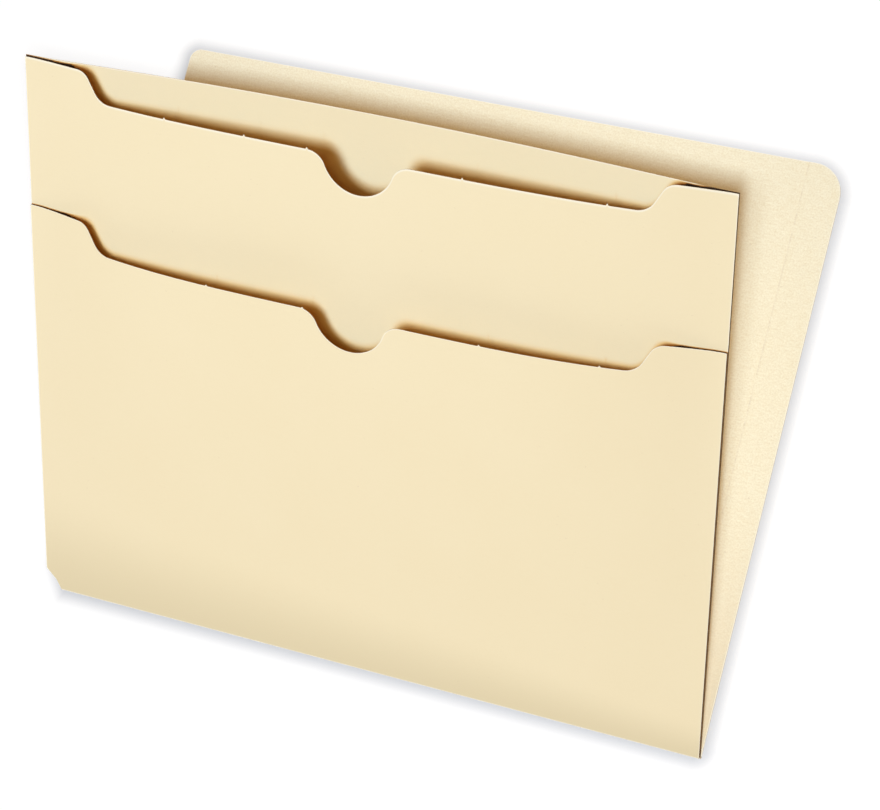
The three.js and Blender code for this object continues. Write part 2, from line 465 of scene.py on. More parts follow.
@dataclass(frozen=True)
class Rows:
    """Spacing of the rows of a card's grid, in mm.

    Attributes:
        close: distances of the close rows from the foot and from a free edge.
        band: what they take up.
        plain: number of even rows on a card that nothing covers.
        covered: number of even rows under a lip, and of the rows above it.
        under_lip: depths of the close rows under a covering lip.
        lip_band: what the close rows at the foot and under the lip take up.
        over_lip: heights of the close rows over the lip.
        room: height of card above the lip below which these draw together.
    """

    close: tuple[float, ...] = (0.0, 0.2, 0.4, 0.8)
    band: float = 1.6
    plain: int = 24
    covered: int = 12
    under_lip: tuple[float, ...] = (14.0, 10.5, 8.0, 6.0, 4.5, 3.4, 2.5, 1.8, 1.2, 0.8, 0.4, 0.0)
    lip_band: float = 17.0
    over_lip: tuple[float, ...] = (0.25, 0.5, 0.8, 1.3)
    room: float = 4.0

    def between(self, low: Array, high: Array, guide: Optional[Array] = None) -> Array:
        """Heights from a lower to an upper edge, which crowd at both and at a guide line between them.

        Args:
            low: lower edge at each column.
            high: upper edge at each column.
            guide: height of the lip that covers the card, where one does.

        Returns:
            v of the grid, columns by rows. The last rows above a guide are spaced as half a cosine.
        """
        close = np.array(self.close)
        foot = low[:, None] + close
        if guide is None:
            even = np.linspace(0, 1, self.plain)[None, :]
            middle = low[:, None] + self.band + (high - low - 2 * self.band)[:, None] * even
            return np.hstack([foot, middle, high[:, None] - close[::-1]])
        even = np.linspace(0, 1, self.covered)
        below = low[:, None] + self.band + (guide - low - self.lip_band)[:, None] * even[None, :]
        under = guide[:, None] - np.array(self.under_lip)
        over = np.minimum((high - guide) / self.room, 1.0)[:, None] * np.array(self.over_lip)[None, :]
        start = guide + over[:, -1]
        share = (1 - np.cos(np.pi * even[1:])) / 2
        above = start[:, None] + (high - start)[:, None] * share[None, :]
        return np.hstack([foot, below, under, guide[:, None] + over, above])


def depth_inside(path: Array, across: Array, up: Array) -> Array:
    """Distance of each point from a lip, above 0 below the lip and under 0 above it.

    Args:
        path: the lip (u, v), with u rising.
        across: u of the points.
        up: v of the points.

    Returns:
        The least distance to a segment of the path: the point is dropped on each segment's line, the
        foot is held between the segment's ends, and the shortest way to a foot is taken.
    """
    point = np.stack([across.ravel(), up.ravel()], axis=1)[:, None, :]
    start, step = path[None, :-1, :], np.diff(path, axis=0)[None, :, :]
    share = ((point - start) * step).sum(axis=2) / (step ** 2).sum(axis=2)
    foot = start + np.clip(share, 0, 1)[..., None] * step
    distance = np.sqrt(((point - foot) ** 2).sum(axis=2).min(axis=1)).reshape(up.shape)
    return np.where(up < np.interp(across, path[:, 0], path[:, 1]), distance, -distance)


def rim_of(edge: Array, low: Array, across: Array, up: Array, width: float, reach: float) -> Array:
    """How close each point is to a cut edge: 1 on it, 0 from a reach inwards.

    Args:
        edge: the upper edge (u, v), one row a column of the grid.
        low: height of the foot at each column.
        across: u of the grid.
        up: v of the grid.
        width: width of the card.
        reach: width of the burr in mm.

    Returns:
        1 - distance / reach, at least 0. The distance to the upper edge is the height below it
        times the cosine of its slope, and the distance to a side or the foot is measured straight.
    """
    slope = np.gradient(edge[:, 1], edge[:, 0])
    below = (edge[:, 1][:, None] - up) / np.sqrt(1 + slope ** 2)[:, None]
    distance = np.minimum.reduce([below, across, width - across, up - low[:, None]])
    return np.clip(1 - distance / reach, 0, 1)


@dataclass(frozen=True)
class Bow:
    """How a card held along its sides and foot stands off them.

    Attributes:
        rise: stand-off in the middle of the free edge in mm, below 0 for inwards.
        flat: power across; a higher one is flatter in the middle.
        soft: power that eases the bow out at the seams.
        ease: share of the height over which the bow starts.
        side_seam: how far from the sides it starts, in mm.
    """

    rise: float
    flat: float
    soft: float
    ease: float = 0.07
    side_seam: float = 8.0

    def at(self, sizes: Sizes, across: Array, up: Array, edge: float) -> Array:
        """rise * (1 - |s| ** flat) ** soft * t * t * (1 + ease) / (t + ease).

        Args:
            sizes: the shared sizes.
            across: u of the grid.
            up: v of the grid.
            edge: height of the free edge.

        Returns:
            The stand-off. s runs from -1 to 1 between the side seams, t from 0 to 1 above the foot seam.
        """
        reach = sizes.width / 2 - self.side_seam
        s = np.clip(np.abs(across - sizes.width / 2) / reach, 0, 1)
        t = np.clip((up - sizes.seam) / (edge - sizes.seam), 0, None)
        return self.rise * (1 - s ** self.flat) ** self.soft * t * t * (1 + self.ease) / (t + self.ease)


# Shader maths


Number = Union[int, float]


class Wire:
    """An output socket of a shader graph, with Python's operators for its maths."""

    def __init__(self, graph: "Graph", socket: bpy.types.NodeSocket) -> None:
        """Wraps a socket of a graph."""
        self.graph = graph
        self.socket = socket

    def _math(self, operation: str, *values: Any) -> "Wire":
        """Adds one Math node on its values."""
        return self.graph.node("ShaderNodeMath", {"operation": operation}, dict(enumerate(values)))

    def __add__(self, other: Union["Wire", Number]) -> "Wire":
        """Sum."""
        return self._math("ADD", self, other)

    def __radd__(self, other: Number) -> "Wire":
        """Sum with a number first."""
        return self._math("ADD", other, self)

    def __sub__(self, other: Union["Wire", Number]) -> "Wire":
        """Difference."""
        return self._math("SUBTRACT", self, other)

    def __rsub__(self, other: Number) -> "Wire":
        """Difference from a number."""
        return self._math("SUBTRACT", other, self)

    def __mul__(self, other: Union["Wire", Number]) -> "Wire":
        """Product."""
        return self._math("MULTIPLY", self, other)

    def __truediv__(self, other: Union["Wire", Number]) -> "Wire":
        """Quotient."""
        return self._math("DIVIDE", self, other)

    def __rmul__(self, other: Number) -> "Wire":
        """Product with a number first."""
        return self._math("MULTIPLY", other, self)

    def size(self) -> "Wire":
        """The value without its sign."""
        return self._math("ABSOLUTE", self)

    def at_least(self, other: Union["Wire", Number]) -> "Wire":
        """The larger of two values."""
        return self._math("MAXIMUM", self, other)

    def clipped(self) -> "Wire":
        """The value held between 0 and 1."""
        return self.graph.node("ShaderNodeClamp", {}, {"Value": self})

    def ramp(self, low: float, high: float) -> "Wire":
        """Smooth step: 0 below low, 1 above high.

        Args:
            low: where it starts.
            high: where it ends.

        Returns:
            The stepped value.
        """
        inputs = {"Value": self, "From Min": low, "From Max": high}
        return self.graph.node("ShaderNodeMapRange", {"interpolation_type": "SMOOTHSTEP"}, inputs, "Result")


class Graph:
    """A material's node graph, built from expressions."""

    def __init__(self, name: str) -> None:
        """Starts an empty material with a Principled shader.

        Args:
            name: name of the material.
        """
        self.material = bpy.data.materials.new(name)
        self.material.use_nodes = True
        self.nodes = self.material.node_tree.nodes
        self.links = self.material.node_tree.links
        self.shader = next(node for node in self.nodes if node.type == "BSDF_PRINCIPLED")

    def node(self, kind: str, settings: dict[str, Any], inputs: dict[Any, Any], output: Any = 0) -> Wire:
        """Adds a node, sets what it is, then fills its sockets.

        Args:
            kind: type of the node.
            settings: its own settings.
            inputs: values or wires by socket name or number.
            output: which output to return.

        Returns:
            The chosen output.
        """
        node = self.nodes.new(kind)
        for key, value in settings.items():
            setattr(node, key, value)
        for key, value in inputs.items():
            self.fill(node.inputs[key], value)
        return Wire(self, node.outputs[output])

    def fill(self, socket: bpy.types.NodeSocket, value: Any) -> None:
        """Links a wire to a socket, or sets the socket's own value."""
        if isinstance(value, Wire):
            self.links.new(value.socket, socket)
        else:
            socket.default_value = value

    def attribute(self, name: str, output: str) -> Wire:
        """A mesh attribute's value."""
        return self.node("ShaderNodeAttribute", {"attribute_name": name}, {}, output)

    def object_place(self) -> Wire:
        """Object coordinates in metres."""
        return self.node("ShaderNodeTexCoord", {}, {}, "Object")

    def along(self, place: Wire, axis: str) -> Wire:
        """A place's X, Y or Z."""
        return self.node("ShaderNodeSeparateXYZ", {}, {0: place}, axis)

    def mix(self, share: Union[Wire, Number], first: Any, second: Any) -> Wire:
        """A colour between two, by a share."""
        colours = {6: opaque(first), 7: opaque(second), 0: share}
        return self.node("ShaderNodeMix", {"data_type": "RGBA", "clamp_factor": True}, colours, 2)

    def bump(self, height: Wire, distance: float, strength: float) -> Wire:
        """A normal tilted by a height."""
        inputs = {"Height": height, "Distance": distance, "Strength": strength}
        return self.node("ShaderNodeBump", {}, inputs)

    def finish(self, **sockets: Any) -> bpy.types.Material:
        """Fills the shader's sockets, named with _ for a space, and returns the material."""
        for name, value in sockets.items():
            self.fill(self.shader.inputs[name.replace("_", " ")], value)
        return self.material


def opaque(colour: Any) -> Any:
    """A plain colour with its alpha added; a wire as it is."""
    return colour if isinstance(colour, Wire) else (*colour, 1.0)


# Finishes


@dataclass(frozen=True)
class Grain:
    """A noise pattern.

    Attributes:
        scale: features per unit of place.
        detail: how many finer layers it has.
        rough: how strong the finer layers are.
        stretch: factor on the place by axis, where the pattern isn't even.
        shift: what is added to the stretched place.
    """

    scale: float
    detail: float = 3.0
    rough: float = 0.6
    stretch: Optional[Triple] = None
    shift: Triple = (0.0, 0.0, 0.0)

    def on(self, place: Wire) -> Wire:
        """The pattern at a place, from 0 to 1 about 0.5.

        Args:
            place: the place, in the units that the scale is given for.

        Returns:
            A value from 0 to 1 about 0.5.
        """
        graph = place.graph
        if self.stretch is not None:
            inputs = {0: place, 1: self.stretch, 2: self.shift}
            place = graph.node("ShaderNodeVectorMath", {"operation": "MULTIPLY_ADD"}, inputs)
        inputs = {"Vector": place, "Scale": self.scale, "Detail": self.detail, "Roughness": self.rough}
        return graph.node("ShaderNodeTexNoise", {"noise_dimensions": "3D"}, inputs, "Fac")


@dataclass(frozen=True)
class Layer:
    """A linear colour that a value brings in, from a start to where it is whole, up to a share."""

    colour: Triple
    start: float
    whole: float
    share: float = 1.0

    def over(self, colour: Union[Wire, Triple], value: Wire) -> Wire:
        """This colour over another one, by the value."""
        return value.graph.mix(value.ramp(self.start, self.whole) * self.share, colour, self.colour)


PAINTED_GAP_SHADE: Triple = (0.035, 0.016, 0.006)
# Linear colour of the painted shade where two cards almost touch.
"""Linear colour where two cards almost touch."""


@dataclass(frozen=True)
class ManilaCard:
    """Manila card: cloudy tone, fibres along the sheet, a fine tooth, a few brown flecks, a pale burr,
    painted shade inside pockets and a darker colour towards the fold.

    Attributes:
        name: name of the material.
        pale: linear colour of the lighter fibres.
        deep: linear colour of the darker ones.
        fleck: linear colour of the flecks and the seam.
        burr: linear colour of the fibres at a cut edge.
        inside: painted shade inside a pocket, by the depth: orange-brown, darker brown, then near black.
        fold_colour: linear colour that the card turns towards the fold; on the inside card it is painted
            shade of the front half standing over the back cover.
        cloud, fibre, tooth: how much the slow tone, the fibres and the fine grain show.
        flecks, seam, burrs: strengths of the flecks, of the tab's seam and of the burr.
        toned: how much of that colour the card takes beside the fold.
        tone_reach: how far that reaches at the left edge, in mm, and what it loses per mm across.
        clouds, fibres, teeth: patterns of the tone, the fibres and the grain.
        specks, patches, breaks: patterns of the flecks, of where they are, and of the seam's breaks.
        speck_step, patch_step, break_step: from where to where each of these comes in.
        tone_step, burr_step, open_step: the same for the colour towards the fold, and for the burr by the
            closeness to the edge, and for its loss under the painted shade in a pocket.
        roughness: of even card, and what the fibres add.
        relief: what the grain and the fibres give to the bump.
    """

    name: str
    pale: Triple = (0.955, 0.795, 0.495)
    deep: Triple = (0.905, 0.725, 0.415)
    fleck: Triple = (0.45, 0.24, 0.12)
    burr: Triple = (1.0, 0.89, 0.66)
    inside: tuple[Layer, ...] = (Layer((0.84, 0.53, 0.19), 0.0, 0.38, 0.95),
                                 Layer((0.52, 0.20, 0.034), 0.22, 0.74), Layer(PAINTED_GAP_SHADE, 0.82, 1.0))
    fold_colour: Triple = (0.79, 0.64, 0.37)
    cloud: float = 0.16
    fibre: float = 0.12
    tooth: float = 0.10
    flecks: float = 0.25
    seam: float = 0.32
    burrs: float = 0.8
    toned: float = 0.0
    tone_reach: Pair = (52.0, 0.115)
    clouds: Grain = Grain(0.022, 3.0, 0.55)
    fibres: Grain = Grain(0.9, 3.0, 0.6, (0.28, 1.1, 1.0))
    teeth: Grain = Grain(1.35, 2.0, 0.65)
    specks: Grain = Grain(0.9, 3.0, 0.65, (0.8, 1.2, 1.0), (37.0, 11.0, 3.0))
    patches: Grain = Grain(0.06, 2.0, 0.5)
    breaks: Grain = Grain(0.22, 3.0, 0.7, (0.3, 1.0, 1.0), (5.0, 2.0, 9.0))
    speck_step: Pair = (0.66, 0.80)
    patch_step: Pair = (0.40, 0.65)
    break_step: Pair = (0.30, 0.75)
    tone_step: Pair = (-0.1, 1.0)
    burr_step: Pair = (0.1, 0.7)
    open_step: Pair = (0.05, 0.25)
    roughness: Pair = (0.86, 0.12)
    relief: Pair = (0.6, 0.4)

    def material(self) -> bpy.types.Material:
        """Builds the nodes, on the card's own flat place in millimetres.

        Returns:
            The material.
        """
        graph = Graph(self.name)
        place = graph.attribute("card_place", "Vector")
        cloud, fibre, tooth = [grain.on(place) - 0.5 for grain in (self.clouds, self.fibres, self.teeth)]
        tone = 0.5 + cloud * (2 * self.cloud) + fibre * (2 * self.fibre) + tooth * (2 * self.tooth)
        colour = graph.mix(tone.clipped(), self.deep, self.pale)
        # Darker towards the fold; on the inside card this is painted shade of the front half standing over
        # the back cover.
        if self.toned:
            reach = self.tone_reach[0] - graph.along(place, "X") * self.tone_reach[1]
            height = (graph.along(place, "Y") / reach).ramp(*self.tone_step)
            colour = graph.mix((1 - height) * self.toned, colour, self.fold_colour)
        # Painted shade inside the pockets, from orange-brown to near black with the depth under the lip; it
        # takes the burr away there too.
        pocket_shade_mask = graph.attribute("card_painted_shade", "Fac")
        for layer in self.inside:
            colour = layer.over(colour, pocket_shade_mask)
        specks = self.specks.on(place).ramp(*self.speck_step)
        patches = self.patches.on(place).ramp(*self.patch_step)
        colour = graph.mix(specks * patches * self.flecks, colour, self.fleck)
        seam = graph.attribute("card_seam", "Fac") * self.breaks.on(place).ramp(*self.break_step)
        colour = graph.mix(seam * self.seam, colour, self.fleck)
        rim = graph.attribute("card_rim", "Fac").ramp(*self.burr_step)
        burr = rim * (1 - pocket_shade_mask.ramp(*self.open_step))
        colour = graph.mix(burr * self.burrs, colour, self.burr)
        relief = tooth * self.relief[0] + fibre * self.relief[1]
        return graph.finish(Base_Color=colour, Roughness=self.roughness[0] + fibre * self.roughness[1],
                            Normal=graph.bump(relief, distance=0.00012, strength=0.35),
                            Specular_IOR_Level=0.25)


@dataclass(frozen=True)
class CutEdge:
    """The cut edge of card: core fibres in fine strokes, with painted shade where another card covers them.
    """

    name: str
    core: Triple = (0.80, 0.62, 0.38)
    stroke: Layer = Layer((0.55, 0.38, 0.20), 0.5, 0.75, 0.6)
    strokes: Grain = Grain(900.0, 2.0, 0.7)
    shade: Layer = Layer(PAINTED_GAP_SHADE, 0.2, 0.8)
    roughness: Pair = (0.92, 0.06)

    def material(self) -> bpy.types.Material:
        """Builds the nodes, on Object coordinates in metres.

        Returns:
            The material.
        """
        graph = Graph(self.name)
        strokes = self.strokes.on(graph.object_place())
        colour = self.stroke.over(self.core, strokes)
        # Painted shade on the cut edges that another card covers.
        colour = self.shade.over(colour, graph.attribute("edge_painted_shade", "Fac"))
        return graph.finish(Base_Color=colour, Roughness=self.roughness[0] - strokes * self.roughness[1],
                            Normal=graph.bump(strokes, distance=0.00008, strength=0.4),
                            Specular_IOR_Level=0.2)


@dataclass(frozen=True)
class PaleFoldCrest:
    """The bent strip of card: manila that is paler along the crest of the bend."""

    name: str = "manila_fold"
    card: Triple = (0.84, 0.71, 0.46)
    fold_colour: Triple = (0.97, 0.92, 0.80)
    breaks: Grain = Grain(1.1, 3.0, 0.6, (0.25, 1.4, 1.0))
    break_step: Pair = (0.30, 0.55)
    paling: float = 0.9
    roughness: Pair = (0.84, 0.08)

    def material(self) -> bpy.types.Material:
        """Builds the nodes: the paler colour follows the bend attribute, broken up by noise along the fold.

        Returns:
            The material.
        """
        graph = Graph(self.name)
        breaks = self.breaks.on(graph.attribute("card_place", "Vector"))
        paling = graph.attribute("card_bend", "Fac") * breaks.ramp(*self.break_step)
        colour = graph.mix(paling * self.paling, self.card, self.fold_colour)
        return graph.finish(Base_Color=colour, Roughness=self.roughness[0] + breaks * self.roughness[1],
                            Normal=graph.bump(breaks, distance=0.0001, strength=0.4),
                            Specular_IOR_Level=0.25)


@dataclass(frozen=True)
class GlueFilm:
    """Dried pocket glue: a satin, slightly yellow film of uneven thickness."""

    name: str = "dried_glue"
    clear: Triple = (0.78, 0.70, 0.50)
    thick: Layer = Layer((0.62, 0.50, 0.30), 0.35, 0.7)
    drag: Grain = Grain(260.0, 3.0, 0.6, (1.0, 0.3, 0.3))
    roughness: Pair = (0.35, 0.3)

    def material(self) -> bpy.types.Material:
        """Builds the nodes, on Object coordinates in metres.

        Returns:
            The material.
        """
        graph = Graph(self.name)
        drag = self.drag.on(graph.object_place())
        return graph.finish(Base_Color=self.thick.over(self.clear, drag),
                            Roughness=self.roughness[0] + drag * self.roughness[1],
                            Normal=graph.bump(drag, distance=0.0001, strength=0.3))


@dataclass(frozen=True)
class PaleFloor:
    """White studio floor that glows a little, so that only faint cool shadows are left on it.

    Attributes:
        name: name of the material.
        sheet: linear colour of the floor.
        mottle: factor on that colour at the darker end of its grain.
        glow: linear colour of its glow.
        shaded: the same close to the folder.
        half_width, half_height: half sizes of the back cover in metres.
        drift: how far its middle lies off the floor's, in metres.
        corner, large_corner: radii of its corners in metres.
        large_step: from where to where the large radius comes in, along x and along y.
        cut_height: where the slanted cut of the corner at the fold starts above the fold, in metres.
        cut_normal: how fast the distance from that cut grows along -x and -y.
        contact: from which to which distance from the outline the contact shade fades, in metres.
        grain: pattern of the floor.
    """

    name: str = "pale_floor"
    sheet: Triple = (0.50, 0.50, 0.50)
    mottle: float = 0.99
    glow: Triple = (0.66, 0.71, 0.76)
    shaded: Triple = (0.14, 0.20, 0.28)
    half_width: float = 0.1492
    half_height: float = 0.1201
    drift: float = 0.0008
    corner: float = 0.004
    large_corner: float = 0.0127
    large_step: tuple[Pair, Pair] = ((0.05, 0.1), (0.03, 0.08))
    cut_height: float = 0.0096
    cut_normal: Pair = (0.811, 0.585)
    contact: Pair = (-0.003, 0.0085)
    grain: Grain = Grain(3.0, 1.0, 0.5)

    def _distance(self, x: Wire, y: Wire) -> Wire:
        """Distance from the back cover's outline, below 0 inside it.

        Args:
            x: place along the fold.
            y: place across it.

        Returns:
            length(max(q, 0)) - r, with q = |place| - half size + r and r the corner's radius, which is
            large at +X +Y; or the distance from the slant across the -X -Y corner where that is larger.
        """
        large = x.ramp(*self.large_step[0]) * y.ramp(*self.large_step[1])
        radius = self.corner + large * (self.large_corner - self.corner)
        over = [(x.size() - self.half_width + radius).at_least(0.0),
                ((y + self.drift).size() - self.half_height + radius).at_least(0.0)]
        outside = x.graph.node("ShaderNodeCombineXYZ", {}, {0: over[0], 1: over[1]})
        length = x.graph.node("ShaderNodeVectorMath", {"operation": "LENGTH"}, {0: outside}, "Value")
        above = y + self.half_height - self.cut_height
        slant = (x + self.half_width) * -self.cut_normal[0] - above * self.cut_normal[1]
        return (length - radius).at_least(slant)

    def material(self) -> bpy.types.Material:
        """Builds the nodes: the contact shade falls off with the distance from the back cover's outline.

        Returns:
            The material.
        """
        graph = Graph(self.name)
        place = graph.object_place()
        distance = self._distance(graph.along(place, "X"), graph.along(place, "Y"))
        glow = graph.mix(1 - distance.ramp(*self.contact), self.glow, self.shaded)
        darker = tuple(self.mottle * part for part in self.sheet)
        colour = graph.mix(self.grain.on(place), self.sheet, darker)
        return graph.finish(Base_Color=colour, Roughness=1.0, Specular_IOR_Level=0.0,
                            Emission_Color=glow, Emission_Strength=1.0)


# Pieces


@dataclass(frozen=True)
class PocketShade:
    """Start and width of the painted shade inside a pocket, in mm, from the gap between its two cards.

    Attributes:
        margin: what the width adds to the gap.
        broad_gap: gap at which it starts to be broader; the change takes the next millimetre of gap.
        broader: share by which it is broader then.
        lead: how far outside the lip it starts for each mm of gap.
        most_lead: the most of that.
        broad_lead: what a broad gap adds to that.
        ear_width: width beside an ear, where the cards almost touch.
        ear_blend: distance across over which the rule for an ear gives way.
        ear_loss: what the start outside an ear loses for each mm of gap.
        ear_least: the least start outside an ear.
    """

    margin: float = 1.5
    broad_gap: float = 1.0
    broader: float = 0.12
    lead: float = 0.35
    most_lead: float = 1.1
    broad_lead: float = 0.45
    ear_width: float = 0.4
    ear_blend: float = 10.0
    ear_loss: float = 0.3
    ear_least: float = 0.1


@dataclass
class Card:
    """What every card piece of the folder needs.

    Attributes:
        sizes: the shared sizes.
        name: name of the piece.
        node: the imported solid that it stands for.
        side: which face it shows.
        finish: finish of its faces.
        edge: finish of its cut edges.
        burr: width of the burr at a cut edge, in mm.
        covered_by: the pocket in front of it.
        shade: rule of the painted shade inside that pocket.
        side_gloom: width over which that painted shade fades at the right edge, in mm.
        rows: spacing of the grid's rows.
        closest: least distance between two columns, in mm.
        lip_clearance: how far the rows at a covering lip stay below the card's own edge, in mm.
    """

    sizes: Sizes
    name: str
    node: str
    side: Side
    finish: ManilaCard
    edge: CutEdge
    burr: float = 0.50
    covered_by: Optional["Pocket"] = None
    shade: PocketShade = PocketShade()
    side_gloom: float = 0.5
    rows: Rows = Rows()
    closest: float = 0.02
    lip_clearance: float = 0.05

    @property
    def half(self) -> Half:
        """The half that the card is placed on."""
        return Half(self.sizes, Body.FRONT if self.side is Side.OUTSIDE else Body.BACK)

    def outline(self) -> Array:
        """The card's upper edge (u, v); each kind of card gives its own."""
        raise NotImplementedError

    def large_corner(self) -> Array:
        """The arc of the large rounded corner at the top right.

        Returns:
            Points (u, v) from the top edge to the right one.
        """
        radius = self.sizes.outer_radius
        centre = (self.sizes.width - radius, self.sizes.height - radius)
        return arc(centre, radius, 90, 0, CORNER_PITCH)

    def foot(self) -> float:
        """Height at which the card starts above the fold."""
        return self.sizes.cover_foot

    def under(self, across: Array, up: Array) -> Array:
        """n of the card's underside; each kind of card gives its own."""
        raise NotImplementedError

    def mark(self, data: bpy.types.Mesh, across: Array) -> None:
        """Stores what else the finish reads; a plain card has nothing more."""

    def build(self) -> bpy.types.Object:
        """Makes the sheet, dresses it and lets it ride in place of its node.

        Returns:
            The finished piece.
        """
        edge, guide = self.outline(), None
        if self.covered_by is not None:
            lip = self.covered_by.outline()
            columns = np.union1d(np.round(edge[:, 0], 3), np.round(lip[:, 0], 3))
            columns = columns[np.append(True, np.diff(columns) > self.closest)]
            edge = np.stack([columns, np.interp(columns, edge[:, 0], edge[:, 1])], axis=1)
            guide = np.minimum(np.interp(columns, lip[:, 0], lip[:, 1]), edge[:, 1] - self.lip_clearance)
        low = self.sizes.foot_at(edge[:, 0], self.foot())
        up = self.rows.between(low, edge[:, 1], guide)
        across = np.repeat(edge[:, :1], up.shape[1], axis=1)
        rim = rim_of(edge, low, across, up, self.sizes.width, self.burr)
        under, pocket_shade_mask = self.under(across, up), self.pocket_shade_mask(across, up)
        piece = Sheet(self.name, self.half, across, up, under, self.sizes.card, rim, pocket_shade_mask).build()
        self.mark(piece.data, across)
        piece.data.materials.append(material_of(self.finish))
        piece.data.materials.append(material_of(self.edge))
        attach(piece, self.half.body.value)
        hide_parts(self.node)
        return piece

    def pocket_shade_mask(self, across: Array, up: Array) -> Array:
        """How deep each point lies in the pocket in front of it, which sets the painted shade there.

        Args:
            across: u of the grid.
            up: v of the grid.

        Returns:
            (distance inwards from the covering lip + start) / width, both by the rule of the gap and
            beside an ear by its own, and no more than (distance inwards from the right edge +
            side_gloom) / side_gloom. It is held between 0 and 1, and is 0 where nothing covers.
        """
        cover, rule = self.covered_by, self.shade
        if cover is None:
            return np.zeros_like(up)
        lip = cover.outline()
        edge = np.interp(across, lip[:, 0], lip[:, 1])
        gap = cover.under(across, np.minimum(up, edge)) - self.under(across, up) - self.sizes.card
        broad = np.clip(gap - rule.broad_gap, 0, 1)
        width = (np.maximum(gap, 0) + rule.margin) * (1 + rule.broader * broad)
        start = np.clip(rule.lead * gap, 0, rule.most_lead) + rule.broad_lead * broad
        side = np.minimum(across, self.sizes.width - across)
        ear = np.clip((cover.ear_reach - side) / rule.ear_blend, 0, 1)
        ear_start = np.clip(cover.ear_shade - rule.ear_loss * gap, rule.ear_least, None)
        width = width * (1 - ear) + rule.ear_width * ear
        start = start * (1 - ear) + ear_start * ear
        inside = (depth_inside(lip, across, up) + start) / width
        beside = (lip[-1, 0] - across + self.side_gloom) / self.side_gloom
        return np.clip(np.minimum(inside, beside), 0, 1)


@dataclass
class FrontCover(Card):
    """The front panel, whose free edge bows inwards, away from its pockets."""

    bow: Bow = Bow(-6.3, 2.0, 1.1)
    sink: float = 1.2
    inset: float = 2.4
    columns: int = 100

    def outline(self) -> Array:
        """A top edge between sharp corners, which sinks with the square of u towards the right one.

        Returns:
            Points (u, v), at the columns of the grid.
        """
        width, close = self.sizes.width, np.append(0.0, EDGE_COLUMNS)
        inner = np.linspace(self.inset, width - self.inset, self.columns)
        cut = [self.sizes.waist_inset, self.sizes.foot_inset]
        across = np.unique(np.round(np.concatenate([close, cut, inner, width - close]), 4))
        return np.stack([across, self.sizes.height - self.sink * (across / width) ** 2], axis=1)

    def under(self, across: Array, up: Array) -> Array:
        """The bow alone."""
        return self.bow.at(self.sizes, across, up, self.sizes.height)


@dataclass
class Pocket(Card):
    """A pocket's card, glued along its sides and foot, whose lip bows outwards.

    Attributes:
        lip: its upper edge.
        level: its place in the stack, counted from the cover.
        bow: how it stands off.
        edge_lift: how far its right edge lifts, in mm.
        edge_inset: how far that edge is drawn in, in mm.
        lift_start: height above the fold over which the lift comes in, in mm.
        ear_shade: how far outside its ears the painted shade starts on the card behind, in mm.
        ear_reach: how far from the sides that holds, in mm.
    """

    lip: Optional[Lip] = None
    level: int = 1
    bow: Bow = Bow(8.0, 4.0, 1.6, side_seam=1.0)
    edge_lift: float = 0.0
    edge_inset: float = 0.0
    lift_start: float = 12.0
    ear_shade: float = 0.95
    ear_reach: float = 30.0

    def outline(self) -> Array:
        """The lip with its ears, thumb cut and nicks, drawn in a little at the right edge.

        Returns:
            Points (u, v), with u times 1 - edge_inset / width.
        """
        path = self.lip.path()
        path[:, 0] *= 1 - self.edge_inset / self.sizes.width
        return path

    def under(self, across: Array, up: Array) -> Array:
        """The card's level in the stack plus its bow, plus a lift beside the glue.

        Args:
            across: u of the grid.
            up: v of the grid.

        Returns:
            n, where the lift is edge_lift * (1 - x / seam) cubed, with x the distance from the right
            edge, times a smooth step over lift_start above the fold.
        """
        beside = np.clip(1 - (self.sizes.width - across) / self.sizes.seam, 0, 1) ** 3
        start = np.clip((up - self.sizes.cover_foot) / self.lift_start, 0, 1)
        lift = self.edge_lift * beside * start * start * (3 - 2 * start)
        return self.level * self.sizes.ply_step + lift + self.bow.at(self.sizes, across, up, self.lip.low)


@dataclass
class BackCover(Card):
    """The back panel, flat, with rounded top corners."""

    pitch: float = 2.5

    def outline(self) -> Array:
        """A straight top edge between a small left and a large right corner arc.

        Returns:
            Points (u, v), at the columns of the grid.
        """
        height, radius = self.sizes.height, self.sizes.inner_radius
        left = arc((radius, height - radius), radius, 180, 90, CORNER_PITCH)
        middle = [[self.sizes.foot_inset, height]]
        return fill_gaps(np.vstack([left, middle, self.large_corner()]), self.pitch)

    def foot(self) -> float:
        """The cover starts where its bend at the fold begins."""
        return self.sizes.crease_start

    def under(self, across: Array, up: Array) -> Array:
        """The card lies on the floor."""
        return np.zeros_like(across)


@dataclass
class SideTab(Card):
    """The second ply of the side tab, whose left edge shows as a faint broken seam."""

    tab_width: float = 15.875
    tab_foot: float = 3.0
    seam_width: float = 0.7
    seam_columns: tuple[float, ...] = (0.0, 0.15, 0.4, 1.0)
    pitch: float = 1.0

    @property
    def start(self) -> float:
        """u of the ply's left edge."""
        return self.sizes.width - self.tab_width

    def outline(self) -> Array:
        """A straight top edge, with close columns at the seam, and the cover's large corner."""
        straight = [[self.start + step, self.sizes.height] for step in self.seam_columns]
        return fill_gaps(np.vstack([straight, self.large_corner()]), self.pitch)

    def foot(self) -> float:
        """The ply ends a little above the fold."""
        return self.tab_foot

    def under(self, across: Array, up: Array) -> Array:
        """The ply lies on its adhesive."""
        return np.full_like(across, self.sizes.card + self.sizes.glue)

    def mark(self, data: bpy.types.Mesh, across: Array) -> None:
        """Stores the seam: 1 - distance from the left edge / seam_width, at least 0."""
        seam = np.clip(1 - (across - self.start) / self.seam_width, 0, 1)
        store(data, "card_seam", "FLOAT", np.tile(seam.ravel(), 2))


